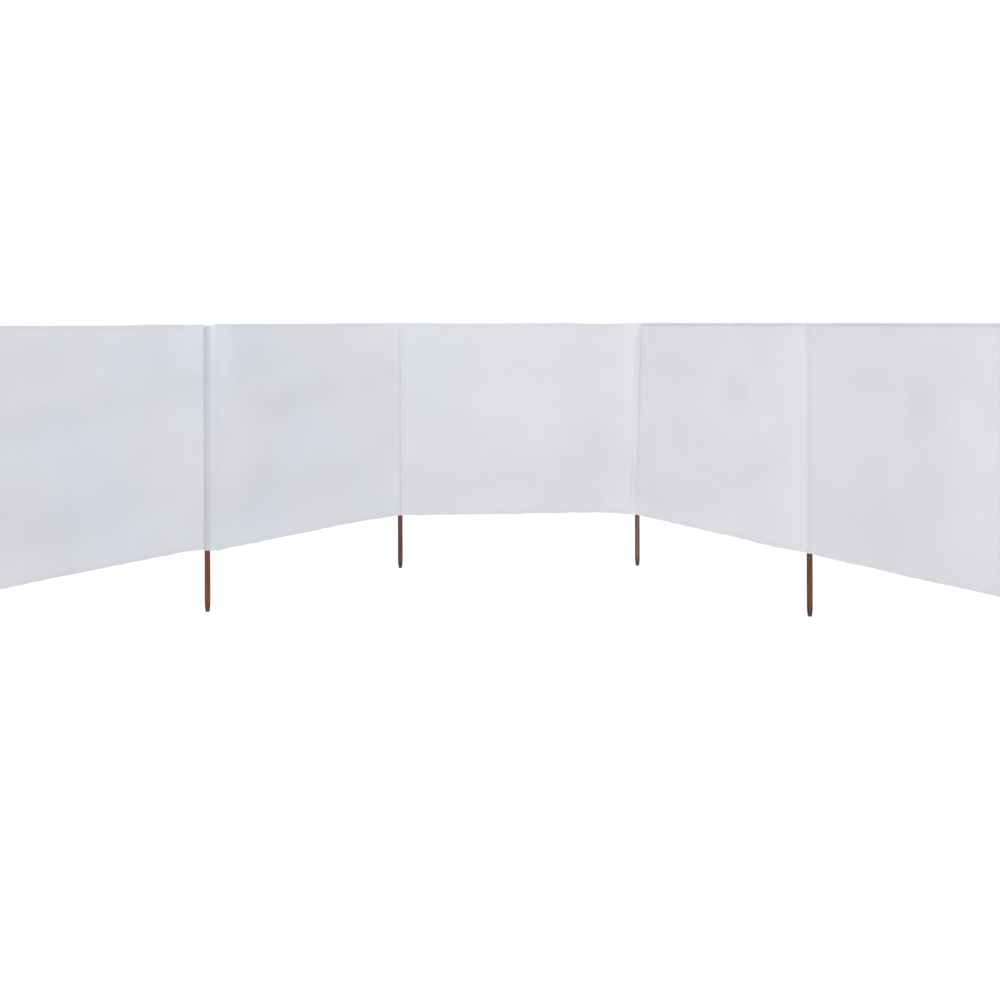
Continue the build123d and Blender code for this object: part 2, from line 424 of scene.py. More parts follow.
def shade(i, s, z):
    a, b = s / FR[i]["L"] * NEARER.get(i, 1.0), (z - Z0) / H
    wa = 0.035 * value_noise(a * 5.0 + 7 * i, b * 5.0, 131 + i) + 0.02 * value_noise(a * 13.0, b * 13.0 + i, 133)
    wb = 0.030 * value_noise(a * 5.0, b * 5.0 + 5 * i, 137 + i) + 0.02 * value_noise(a * 13.0 + i, b * 13.0, 139)
    t = np.zeros_like(a)
    for own, (ca, cb), ra, rb, tilt, amount in [(1.0, *t_) for t_ in TONES[KIND[i]]] + [(0.12, *t_) for t_ in OWN.get(i, [])]:
        x, y = a + own * wa - ca, b + own * wb - cb - tilt * (a - ca)
        d = np.sqrt((x / ra) ** 2 + (y / rb) ** 2)
        t = t + amount * (1 - smooth(d, 0.45, 1.35))
    return t - BAY_SHADE[i]


def set_shade(ob, values):
    at = ob.data.attributes.new("shade", "FLOAT", "POINT")
    at.data.foreach_set("value", np.asarray(values, np.float32).ravel())


def cloth_uv(i, s, z):
    return np.stack([FLAT_OFFSET[i] + s, z], -1)


pieces = []
for i, (body, _, _) in BAYS.items():
    s0, s1 = FR[i]["s0"], FR[i]["s1"]
    ss = spaced(s0 - 0.0012, s1 + 0.0012, 0.0056, 0.003, 0.045)
    zs = spaced(Z0 + 0.0003, Z1 - 0.0003, 0.0095, 0.0032, 0.048)
    S, Z = np.meshgrid(ss, zs)
    front, _ = surf(i, S, Z, 0.0)
    back, _ = surf(i, S, Z, CLOTH_T)
    sheet = slab(f"bay_{i}_cloth", front, back, cloth_uv(i, S, Z))
    tone = shade(i, S, Z)
    set_shade(sheet, np.concatenate([tone.ravel()] * 2))
    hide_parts(f"panel_{i}")
    pieces.append((sheet, body, "cloth"))

    # hems: the edge folded twice to the back and sewn down
    for which in ("top", "bottom"):
        k = np.array([0.0, 0.0006, 0.0016, 0.0045, 0.0080, 0.0115, HEM - 0.0006, HEM])
        puff = np.array([0.15, 0.80, 1.0, 1.0, 0.92, 0.86, 0.78, 0.12])
        hz = Z1 - k[::-1] if which == "top" else Z0 + k
        pf = puff[::-1] if which == "top" else puff
        hs = spaced(s0 + 0.0005, s1 - 0.0005, 0.0056, 0.004, 0.04)
        S, Z = np.meshgrid(hs, hz)
        thick = 0.0011 * pf[:, None] * np.ones_like(S)
        ripple = 0.00018 * value_noise(S / 0.006, Z / 0.006, 55 + i)
        near, _ = surf(i, S, Z, CLOTH_T + 0.00008)
        far, _ = surf(i, S, Z, CLOTH_T + 0.00012 + thick + ripple * pf[:, None])
        hem = slab(f"bay_{i}_{which}_hem", near, far, cloth_uv(i, S, Z) + np.array([0.37, 0.11]))
        set_shade(hem, np.concatenate([shade(i, S, Z).ravel()] * 2))
        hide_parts(f"{which}_hem_{i}")
        pieces.append((hem, body, "hem"))


# ------------------------------------------------------------------ sleeves
def hull(points):
    pts = sorted(map(tuple, points))

    def half(seq):
        out = []
        for p in seq:
            while len(out) > 1 and (
                (out[-1][0] - out[-2][0]) * (p[1] - out[-2][1])
                - (out[-1][1] - out[-2][1]) * (p[0] - out[-2][0])
            ) <= 0:
                out.pop()
            out.append(p)
        return out

    a, b = half(pts), half(pts[::-1])
    return np.array(a[:-1] + b[:-1])


def resample(path, n, ends=0.0):
    """n points along the line, evenly spaced or with more of them towards its ends."""
    d = np.concatenate([[0], np.cumsum(np.linalg.norm(np.diff(path, axis=0), axis=1))])
    t = np.linspace(0, 1, n)
    t = d[-1] * (t * (1 - ends) + (0.5 - 0.5 * np.cos(math.pi * t)) * ends)
    return np.stack([np.interp(t, d, path[:, k]) for k in range(2)], 1)


def taut(circle_r, ends):
    """The loop of cloth drawn tight round a circle at the origin and out to the seams: (front half, back half), each from the left seam to the right one."""
    th = np.linspace(0, 2 * math.pi, 361)[:-1]
    ring = np.stack([np.cos(th), np.sin(th)], 1) * circle_r
    loop = hull(np.concatenate([ring, np.array(ends)]))     # counter-clockwise
    idx = [int(np.argmin(np.linalg.norm(loop - np.array(e), axis=1))) for e in ends]
    i, j = idx
    m = len(loop)
    first = loop[[(i + k) % m for k in range((j - i) % m + 1)]]     # from the left seam, counter-clockwise
    second = loop[[(i - k) % m for k in range((i - j) % m + 1)]]    # the other way
    return first, second


def soften(path, width):
    """The same line with its corners rounded over about width metres."""
    length = np.linalg.norm(np.diff(path, axis=0), axis=1).sum()
    step = 0.00025
    fine = resample(path, int(length / step) + 1)
    m = int(3 * width / step)
    w = np.exp(-0.5 * (np.arange(-m, m + 1) * step / width) ** 2)
    ext = np.concatenate([2 * fine[0] - fine[m:0:-1], fine, 2 * fine[-1] - fine[-2:-m - 2:-1]])
    return np.stack([np.convolve(ext[:, c], w / w.sum(), "valid") for c in range(2)], 1)


def hermite(p, dp, q, dq):
    x = np.linspace(0, 1, 24)[:, None]
    return (2 * x**3 - 3 * x**2 + 1) * p + (x**3 - 2 * x**2 + x) * dp + (3 * x**2 - 2 * x**3) * q + (x**3 - x**2) * dq


# where the corner of the fourth post's sleeve lies, along the middle bay
NOTCH_AT = {4: lambda up: -0.0011 + 0.0199 * up}


def crowded(path, n):
    """n points along the line, closer together where it turns."""
    seg = np.diff(path, axis=0)
    length = np.linalg.norm(seg, axis=1)
    head = np.unwrap(np.arctan2(seg[:, 1], seg[:, 0]))
    turn = np.convolve(np.abs(np.gradient(head)), np.ones(7) / 7, "same")
    w = 0.55 * length / length.sum() + 0.45 * turn / (turn.sum() + 1e-9)
    d = np.concatenate([[0], np.cumsum(w)])
    t = np.linspace(0, d[-1], n)
    return np.stack([np.interp(t, d, path[:, c]) for c in range(2)], 1)


def front_axes(dl, dr):
    x = (dl + dr) / np.linalg.norm(dl + dr)
    return x, np.array([x[1], -x[0]])


def front_line(k, z, ends, dl, dr, r):
    """The front of sleeve k from its left seam to its right one; dl and dr are the two bays' directions, left to right."""
    a, b = np.array(ends[0]), np.array(ends[1])
    up = (z - Z0) / H
    x, f = front_axes(dl, dr)

    def on(deg):
        """A point on the post, deg to the right of its front, and the direction of travel there."""
        t = math.radians(deg)
        return r * (math.cos(t) * f + math.sin(t) * x), math.cos(t) * x - math.sin(t) * f

    kind, p, q = FRONT[k]
    if kind == "corner":
        # where the two bays' cloths would meet
        t, _ = np.linalg.solve(np.stack([dl, dr], 1), b - a)
        corner = a + dl * t
        depth, wl, wr, lo, hi = NOTCH[k]
        depth = max(depth * float(1 - smooth(np.array(up), lo, hi)), 0.0001)
        pts = [a]
        if k in SEWN:
            at, shift, deep, w = SEWN[k][:4]
            m = a + dl * ((at + shift * up) - a @ dl)
            deep = deep * float(1 - smooth(np.array(up), 0.90, 0.97))
            pts += [m - dl * w, m - f * deep, m + dl * w]
        pts += [corner - dl * wl, corner - f * depth, corner + dr * wr, b]
        path = soften(np.array(pts), 0.0006)
    else:
        arc = np.array([on(d)[0] for d in np.linspace(p, q, 24)])
        if kind == "valley left":
            c, t = on(q)
            run = np.linalg.norm(b - c)
            path = np.concatenate([[a], arc, hermite(c, t * run, b, dr * run)[1:]])
        else:
            c, t = on(p)
            run = np.linalg.norm(a - c)
            path = np.concatenate([hermite(a, dl * run * 1.25, c, t * run)[:-1], arc, [b]])
        path = soften(path, 0.0008)
    # the cloth can't go into the post
    far = np.linalg.norm(path, axis=1)
    return path * (np.maximum(far, 0.0109) / far)[:, None]


def sleeve(k):
    left = next((i for i, (_, a, b) in BAYS.items() if b == k), None)
    right = next((i for i, (_, a, b) in BAYS.items() if a == k), None)
    c = POST[k]
    n = 42
    zs = np.unique(np.concatenate([
        np.array([Z0, Z0 + 0.0006, Z0 + 0.004, Z0 + 0.009, Z0 + HEM - 0.0012, Z0 + HEM - 0.0002, Z0 + HEM + 0.0012]),
        np.linspace(Z0 + HEM + 0.007, POST_TOP - 0.006, 96),
        np.linspace(POST_TOP + 0.0006, Z1, 12),
    ]))
    # how far the top edge hangs below level here: the sleeve closes only above the post
    drop = max(0.0, -float(min(post_lift(k, Z1, q) for q in (0.0, 0.5, 1.0))))
    # the cloth runs on from the bay on the left
    u0 = FLAT_OFFSET[left] + FR[left]["s1"] if left else FLAT_OFFSET[right] + FR[right]["s0"] - 0.042
    outer, inner, uvs, tones = [], [], [], []
    seam_pts, girth = [], []
    for z in zs:
        ends = []
        if left:
            p, _ = surf(left, FR[left]["s1"], z, CLOTH_T / 2)
            ends.append(p[:2] - c)
        if right:
            p, _ = surf(right, FR[right]["s0"], z, CLOTH_T / 2)
            ends.append(p[:2] - c)
        if len(ends) == 1:
            far = -ends[0] / np.linalg.norm(ends[0]) * CLEAR_R
            ends = [far, ends[0]] if right else [ends[0], far]
        seam_pts.append(ends)
        # a sleeve is a little loose, more so here and there
        loose = 0.00035 + 0.0004 * (1 + value_noise(np.array(z / 0.12), np.array(k * 1.7), 3 + k))
        first, second = taut(CLEAR_R + float(loose), ends)
        if k in FRONT:
            first = front_line(k, z, ends, FR[left]["u"], FR[right]["u"], 0.0112 + float(loose) * 0.4)
        # first runs counter-clockwise from the left seam: that is the front half
        f, g = crowded(first, n) if k in FRONT else resample(first, n), resample(second, n, 0.75 if k in SEWN else 0.0)
        # painted shade on the sleeve's front: where the post shows dark through the cloth, and along and beside the
        # sewn line
        painted_shade = np.zeros(n)
        if k in POST_SHADE:
            x = f @ front_axes(FR[left]["u"], FR[right]["u"])[0]
            x0, x1, x2, x3, amount = POST_SHADE[k]
            amount = amount * (1 + POST_SHADE_TOP.get(k, 0.0) * float(smooth(np.array((z - Z0) / H), 0.74, 0.90)))
            painted_shade = amount * smooth(x, x0, x1) * (1 - smooth(x, x2, x3))
        if k in SEWN:
            at, shift, _, _, line, beside = SEWN[k]
            up = (z - Z0) / H
            x = f @ FR[left]["u"] - (at + shift * up)
            fade = 1 - float(smooth(np.array(up), 0.90, 0.97))
            end = NOTCH_AT[k](up) - (at + shift * up)
            painted_shade = fade * (line * np.exp(-(x / 0.0022) ** 2) + beside * smooth(x, 0.0, 0.003) * (1 - smooth(x, end - 0.002, end)))
        q = np.linspace(0, 1, n)
        knee = f[n // 2] * 0.9
        mid = ((1 - q) ** 2)[:, None] * ends[0] + (2 * q * (1 - q))[:, None] * knee + (q ** 2)[:, None] * ends[1]
        chord = np.array(ends[1]) - np.array(ends[0])
        chord = chord / np.linalg.norm(chord)
        fr = np.array([chord[1], -chord[0]])                 # towards the front
        pinch = float(smooth(np.array(z), POST_TOP + 0.0003 + drop, Z1 - 0.0030))
        bell = np.sin(math.pi * q) ** 0.5
        wr = value_noise(q * 3.2 + k, z / 0.030 + q * 1.5, 41 + k) * 0.00055 \
            + value_noise(q * 5.1 + k, z / 0.014 + q, 47 + k) * 0.00022
        wr = np.maximum(wr, -0.0002) * bell * (1 - pinch)

        # outward directions, from the nearest point of the line between the seams
        def outward(path, sign):
            t = np.gradient(path, axis=0)
            t /= np.linalg.norm(t, axis=1)[:, None] + 1e-12
            return sign * np.stack([t[:, 1], -t[:, 0]], 1)

        nf, ng = outward(f, 1.0), outward(g, -1.0)
        f = f + nf * wr[:, None]
        g = g + ng * wr[::-1, None] * 0.8
        if k in SEWN:
            # the back keeps clear of the deep fold in front of it
            tg, t = g @ chord, np.linspace(ends[0] @ chord, ends[1] @ chord, 300)
            near = np.minimum(t - t[0], t[-1] - t)
            floor_at = np.interp(t, np.maximum.accumulate(f @ chord), f @ fr) - 0.0027 * smooth(near, 0.0, 0.003)
            push = np.maximum(np.interp(t, np.maximum.accumulate(tg), g @ fr) - floor_at, 0.0)
            push = np.array([push[max(j - 7, 0):j + 8].max() for j in range(300)])
            w = np.exp(-0.5 * (np.arange(-18, 19) / 6.0) ** 2)
            push = np.convolve(push, w / w.sum(), "same") * smooth(near, 0.0, 0.0012)
            g = g - fr * np.interp(tg, t, push)[:, None]
        f = f * (1 - pinch) + (mid + fr * 0.00032) * pinch
        g = g * (1 - pinch) + (mid - fr * 0.00032) * pinch
        nf = nf * (1 - pinch) + fr * pinch
        ng = ng * (1 - pinch) - fr * pinch
        loop = np.concatenate([f, g[::-1][1:-1]])
        nrm = np.concatenate([nf, ng[::-1][1:-1]])
        nrm /= np.linalg.norm(nrm, axis=1)[:, None] + 1e-12
        # at the seams both layers end together on the bay's own cloth
        for idx, e, b in ((0, ends[0], left), (n - 1, ends[1], right)):
            if b:
                loop[idx] = e
                nrm[idx] = np.array(e) / np.linalg.norm(e)
        hem = 0.00050 * float(1 - smooth(np.array(z), Z0 + HEM - 0.0016, Z0 + HEM + 0.0006))
        edge = 0.35 if z <= Z0 + 1e-6 else 1.0
        t_out = (CLOTH_T / 2 + hem) * edge
        t_in = (CLOTH_T / 2) * edge
        across = np.concatenate([q, q[::-1][1:-1]])
        zz = z + post_lift(k, z, across)
        outer.append(np.c_[c + loop + nrm * t_out, zz])
        inner.append(np.c_[c + loop - nrm * t_in, zz])
        # the bays' painted light and shade carried across the sleeve, less the painted shade on its front
        tone_l = float(shade(left, FR[left]["s1"], z)) if left else float(shade(right, FR[right]["s0"], z))
        tone_r = float(shade(right, FR[right]["s0"], z)) if right else tone_l
        tone = tone_l + (tone_r - tone_l) * smooth(across, 0.25, 0.60)
        tone[:n] -= painted_shade
        tones.append(tone)
        lens = np.linalg.norm(np.diff(np.vstack([loop, loop[:1]]), axis=0), axis=1)
        run = np.concatenate([[0], np.cumsum(lens)[:-1]])
        girth.append(lens.sum())
        uvs.append(np.stack([run + u0, np.full(len(loop), z)], 1))
    outer, inner, uvs = np.array(outer), np.array(inner), np.array(uvs)
    rows, cols, _ = outer.shape
    m = rows * cols
    verts = np.concatenate([outer.reshape(-1, 3), inner.reshape(-1, 3)])
    faces = grid_faces(rows, cols, 0, cyclic=True) + grid_faces(rows, cols, m, flip=True, cyclic=True)
    for cc in range(cols):
        c2 = (cc + 1) % cols
        faces.append([c2, cc, m + cc, m + c2])
        t0 = (rows - 1) * cols
        faces.append([t0 + cc, t0 + c2, m + t0 + c2, m + t0 + cc])
    ob = new_object(f"post_{k}_sleeve", verts, faces, uvs.reshape(-1, 2).tolist() * 2)
    # the last column of faces runs on to the full girth instead of back to nothing
    layer = ob.data.uv_layers["cloth"].data
    flat = np.zeros(len(layer) * 2, np.float32)
    layer.foreach_get("uv", flat)
    quad = flat.reshape(-1, 4, 2)
    u = quad[:, :, 0]
    wrap = np.ptp(u, axis=1) > 0.5 * float(np.mean(girth))
    u[wrap] = np.where(u[wrap] < u0 + 1e-6, u0 + float(np.mean(girth)), u[wrap])
    layer.foreach_set("uv", quad.ravel())
    set_shade(ob, np.array(tones).ravel().tolist() * 2)
    # crisp rims, and the two layers part at the seams
    sharp = []
    for part in (0, m):
        for r in (0, rows - 1):
            sharp += [(part + r * cols + cc, part + r * cols + (cc + 1) % cols) for cc in range(cols)]
        for col, b in ((0, left), (n - 1, right)):
            if b:
                sharp += [(part + r * cols + col, part + (r + 1) * cols + col) for r in range(rows - 1)]
    sharpen(ob, sharp)
    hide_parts(f"sleeve_{k}", f"sleeve_cap_{k}")
    mid_row = seam_pts[len(seam_pts) // 2]
    return ob, left, right, [np.append(c + e, (Z0 + Z1) / 2) for e in mid_row], (outer, n), float(np.mean(girth))


sleeves, skins, girths = {}, {}, {}
for k in POST:
    ob, left, right, ends, skin, girth = sleeve(k)
    sleeves[k] = (ob, left, right, ends)
    skins[k], girths[k] = skin, girth


# ------------------------------------------------------------------ stitches
def stitches(name, rows):
    """Rows of thread stitches. rows: (points, directions, normals, length)."""
    verts, faces = [], []
    for P, T, N, length in rows:
        W = np.cross(N, T)
        for p, t, nn, w in zip(P, T, N, W):
            s = len(verts)
            verts += [p - t * length / 2, p + t * length / 2,
                      p + w * 0.00032 - nn * 0.00005, p - w * 0.00032 - nn * 0.00005,
                      p + nn * 0.00030, p - nn * 0.00022]
            for a, b in ((0, 1),):
                faces += [[s, s + 2, s + 4], [s, s + 4, s + 3], [s, s + 3, s + 5], [s, s + 5, s + 2],
                          [s + 1, s + 4, s + 2], [s + 1, s + 3, s + 4], [s + 1, s + 5, s + 3], [s + 1, s + 2, s + 5]]
    return new_object(name, verts, faces)


def row_on(i, s, z, off, side, length=0.0027):
    """One row of stitches on bay i, on its front (side -1) or back (+1) face."""
    s, z = np.broadcast_arrays(np.asarray(s, float), np.asarray(z, float))
    P, N = surf(i, s, z, off)
    e = 0.0006
    if np.ptp(s) > np.ptp(z):
        T = surf(i, s + e, z, off)[0] - surf(i, s - e, z, off)[0]
    else:
        T = surf(i, s, z + e, off)[0] - surf(i, s, z - e, off)[0]
    T /= np.linalg.norm(T, axis=1)[:, None]
    return P, T, N * side, length


PITCH = 0.0040
for i, (body, _, _) in BAYS.items():
    s0, s1 = FR[i]["s0"], FR[i]["s1"]
    rows = []
    s = np.arange(s0 + 0.003, s1 - 0.003, PITCH)
    for z in (Z1 - HEM + 0.0022, Z0 + HEM - 0.0022):
        rows.append(row_on(i, s, z, 0.0, -1))
        rows.append(row_on(i, s + PITCH / 2, z, CLOTH_T + 0.0010, 1))
    z = np.arange(Z0 + 0.003, Z1 - 0.003, PITCH)
    for side in (0.0016, 0.0046):
        for at in (s0 + side, s1 - side):
            rows.append(row_on(i, at, z, 0.0, -1))
            rows.append(row_on(i, at, z + PITCH / 2, CLOTH_T, 1))
    st = stitches(f"bay_{i}_stitches", rows)
    pieces.append((st, body, "thread"))


def ring_rows(k, z, length=0.0027):
    """Stitches round sleeve k at height z, on its front and on its back."""
    skin, n = skins[k]
    heights = skin[:, 0, 2]
    r = int(np.clip(np.searchsorted(heights, z), 1, len(heights) - 1))
    w = np.clip((z - heights[r - 1]) / (heights[r] - heights[r - 1]), 0, 1)
    loop = skin[r - 1] * (1 - w) + skin[r] * w
    mid = loop[:, :2].mean(0)
    out = []
    for path in (loop[:n], np.concatenate([loop[n - 1:], loop[:1]])):
        run = np.concatenate([[0], np.cumsum(np.linalg.norm(np.diff(path, axis=0), axis=1))])
        t = np.arange(0.0030, run[-1] - 0.0024, PITCH)
        P = np.stack([np.interp(t, run, path[:, c]) for c in range(3)], 1)
        e = 0.0008
        T = np.stack([np.interp(t + e, run, path[:, c]) - np.interp(t - e, run, path[:, c]) for c in range(3)], 1)
        T /= np.linalg.norm(T, axis=1)[:, None]
        N = np.cross(T, np.array([0, 0, 1.0]))
        N /= np.linalg.norm(N, axis=1)[:, None]
        N *= np.where(((P[:, :2] - mid) * N[:, :2]).sum(1) < 0, -1.0, 1.0)[:, None]
        out.append((P, T, N, length))
    return out


sleeve_threads = {}
for k in POST:
    rows = []
    for z in (Z0 + HEM - 0.0022, Z1 - 0.0052, Z1 - 0.0022):
        rows += ring_rows(k, z)
    sleeve_threads[k] = stitches(f"post_{k}_stitches", rows)


# ------------------------------------------------------------------ materials
def material(name):
    m = bpy.data.materials.new(name)
    m.use_nodes = True
    nt = m.node_tree
    nt.nodes.clear()
    return m, nt


class Net:
    """Small helper for building node trees."""

    def __init__(self, nt):
        self.nt = nt

    def node(self, kind, **props):
        n = self.nt.nodes.new(kind)
        for k, v in props.items():
            setattr(n, k, v)
        return n

    def link(self, a, b):
        self.nt.links.new(a, b)

    def math(self, op, a, b=None, c=None, clamp=False):
        n = self.node("ShaderNodeMath", operation=op, use_clamp=clamp)
        for k, v in enumerate((a, b, c)):
            if v is None:
                continue
            if isinstance(v, (int, float)):
                n.inputs[k].default_value = v
            else:
                self.link(v, n.inputs[k])
        return n.outputs[0]

    def noise(self, vec, scale, detail=2.0, rough=0.5, dim="3D"):
        n = self.node("ShaderNodeTexNoise", noise_dimensions=dim)
        n.inputs["Scale"].default_value = scale
        n.inputs["Detail"].default_value = detail
        n.inputs["Roughness"].default_value = rough
        self.link(vec, n.inputs["Vector"])
        return n.outputs["Fac"]

    def combine(self, x, y, z=0.0):
        n = self.node("ShaderNodeCombineXYZ")
        for k, v in enumerate((x, y, z)):
            if isinstance(v, (int, float)):
                n.inputs[k].default_value = v
            else:
                self.link(v, n.inputs[k])
        return n.outputs[0]

    def range(self, v, a, b, c, d, kind="LINEAR"):
        n = self.node("ShaderNodeMapRange", interpolation_type=kind)
        self.link(v, n.inputs[0])
        for k, x in enumerate((a, b, c, d)):
            n.inputs[k + 1].default_value = x
        return n.outputs[0]

    def mix(self, fac, a, b, blend="MIX"):
        n = self.node("ShaderNodeMix", data_type="RGBA", blend_type=blend)
        for sock, v in ((n.inputs[0], fac), (n.inputs[6], a), (n.inputs[7], b)):
            if isinstance(v, (int, float)):
                sock.default_value = v
            elif isinstance(v, tuple):
                sock.default_value = v
            else:
                self.link(v, sock)
        return n.outputs[2]


def cloth_material(name, base, through, seed):
    m, nt = material(name)
    N = Net(nt)
    out = N.node("ShaderNodeOutputMaterial")
    uv = N.node("ShaderNodeUVMap", uv_map="cloth").outputs[0]
    sep = N.node("ShaderNodeSeparateXYZ")
    N.link(uv, sep.inputs[0])
    u, v = sep.outputs[0], sep.outputs[1]
    base_vec = N.combine(u, v, seed)
    # cloudy tone and a faint drift between cool and warm white
    cloud = N.noise(base_vec, 3.4, 3.0, 0.55)
    tone = N.range(cloud, 0.28, 0.72, 0.972, 1.020)
    tint = N.noise(N.combine(u, v, seed + 4.0), 2.6, 2.0, 0.5)
    cool = (float(base[0] * 0.982), float(base[1] * 0.996), float(base[2] * 1.006), 1)
    warm = (float(base[0] * 1.006), float(base[1] * 0.992), float(base[2] * 0.998), 1)
    col = N.mix(N.range(tint, 0.35, 0.65, 0, 1), cool, warm)
    # painted light and shade along the cloth's length: the left bays drawn darker and the middle lightest, for how the
    # light falls, with a faint shift in hue
    painted_light_ramp = N.node("ShaderNodeValToRGB")
    painted_light_ramp.color_ramp.interpolation = "B_SPLINE"
    marks = [(0.00, (0.862, 0.877, 0.882)), (0.17, (0.868, 0.884, 0.888)), (0.30, (0.905, 0.922, 0.920)),
             (0.50, (0.955, 0.962, 0.952)), (0.70, (0.972, 0.955, 0.948)), (0.84, (0.925, 0.908, 0.905)),
             (1.00, (0.918, 0.902, 0.898))]
    ramp = painted_light_ramp.color_ramp
    for n_, (pos, c) in enumerate(marks):
        if n_ == 0:
            el = ramp.elements[0]
        elif n_ == len(marks) - 1:
            el = ramp.elements[len(ramp.elements) - 1]
        else:
            el = ramp.elements.new(pos)
        el.position = pos
        el.color = (*c, 1)
    N.link(N.math("MULTIPLY", u, 0.2), painted_light_ramp.inputs[0])
    col = N.mix(1.0, col, painted_light_ramp.outputs[0], "MULTIPLY")
    # yarns: slightly uneven warp and weft
    warp = N.noise(N.combine(N.math("MULTIPLY", u, 900.0), N.math("MULTIPLY", v, 9.0), seed), 1.0, 2.0)
    weft = N.noise(N.combine(N.math("MULTIPLY", u, 9.0), N.math("MULTIPLY", v, 900.0), seed + 2), 1.0, 2.0)
    yarn = N.math("MULTIPLY", N.range(warp, 0.2, 0.8, 0.985, 1.013), N.range(weft, 0.2, 0.8, 0.985, 1.013))
    # painted shade along the top hem, as if the doubled cloth let less light through, most of all on the last two bays
    edge = N.math("ADD", v, N.math("MULTIPLY", N.noise(N.combine(N.math("MULTIPLY", u, 7.0), 0.0, 9.0), 1.0, 2.0), 0.004))
    band = N.range(edge, Z1 - HEM + 0.0010, Z1 - HEM + 0.0045, 0.0, 1.0, "SMOOTHSTEP")
    right = N.range(u, 2.99, 3.06, 0.0, 0.060, "SMOOTHSTEP")
    patchy = N.range(N.noise(N.combine(u, 3.0, 5.0), 4.0, 1.0), 0.3, 0.7, 0.75, 1.3)
    hem_painted_shade = N.math("SUBTRACT", 1.0, N.math("MULTIPLY", N.math("MULTIPLY", band, right), patchy))
    # painted light and shade: the shade attribute lightens or darkens the cloth's colour
    worn_and_painted_shade = N.node("ShaderNodeAttribute", attribute_name="shade", attribute_type="GEOMETRY").outputs["Fac"]
    worn_and_painted_shade = N.math("ADD", 1.0, worn_and_painted_shade)
    shade = N.math("MULTIPLY", N.math("MULTIPLY", N.math("MULTIPLY", tone, yarn), hem_painted_shade), worn_and_painted_shade)
    gray = N.combine(shade, shade, shade)
    col = N.mix(1.0, col, gray, "MULTIPLY")
    # weave, crumple and yarn relief
    wu = N.math("SINE", N.math("MULTIPLY", u, 2 * math.pi / 0.0009))
    wv = N.math("SINE", N.math("MULTIPLY", v, 2 * math.pi / 0.0009))
    weave = N.math("MULTIPLY", wu, wv)
    crumple = N.noise(base_vec, 34.0, 3.0, 0.55)
    crease = N.noise(base_vec, 9.0, 2.0, 0.5)
    b1 = N.node("ShaderNodeBump")
    b1.inputs["Strength"].default_value = 0.35
    b1.inputs["Distance"].default_value = 0.0022
    N.link(N.math("ADD", N.math("MULTIPLY", crumple, 0.5), crease), b1.inputs["Height"])
    b2 = N.node("ShaderNodeBump")
    b2.inputs["Strength"].default_value = 0.25
    b2.inputs["Distance"].default_value = 0.00012
    N.link(N.math("ADD", weave, N.math("ADD", warp, weft)), b2.inputs["Height"])
    N.link(b1.outputs[0], b2.inputs["Normal"])
    p = N.node("ShaderNodeBsdfPrincipled")
    N.link(col, p.inputs["Base Color"])
    N.link(N.range(yarn, 0.95, 1.04, 0.86, 0.74), p.inputs["Roughness"])
    p.inputs["Specular IOR Level"].default_value = 0.22
    p.inputs["Sheen Weight"].default_value = 0.06
    p.inputs["Sheen Roughness"].default_value = 0.5
    N.link(b2.outputs[0], p.inputs["Normal"])
    t = N.node("ShaderNodeBsdfTranslucent")
    N.link(col, t.inputs["Color"])
    N.link(b2.outputs[0], t.inputs["Normal"])
    mx = N.node("ShaderNodeMixShader")
    mx.inputs[0].default_value = through
    N.link(p.outputs[0], mx.inputs[1])
    N.link(t.outputs[0], mx.inputs[2])
    N.link(mx.outputs[0], out.inputs[0])
    return m


def thread_material():
    m, nt = material("white_thread")
    N = Net(nt)
    out = N.node("ShaderNodeOutputMaterial")
    tc = N.node("ShaderNodeTexCoord").outputs["Object"]
    n1 = N.noise(tc, 900.0, 2.0)
    n2 = N.noise(tc, 60.0, 2.0)
    col = N.mix(N.math("MULTIPLY", n1, n2), (0.62, 0.62, 0.66, 1), (0.80, 0.80, 0.83, 1))
    p = N.node("ShaderNodeBsdfPrincipled")
    N.link(col, p.inputs["Base Color"])
    N.link(N.range(n2, 0.2, 0.8, 0.45, 0.65), p.inputs["Roughness"])
    b = N.node("ShaderNodeBump")
    b.inputs["Strength"].default_value = 0.4
    b.inputs["Distance"].default_value = 0.0001
    N.link(n1, b.inputs["Height"])
    N.link(b.outputs[0], p.inputs["Normal"])
    N.link(p.outputs[0], out.inputs[0])
    return m


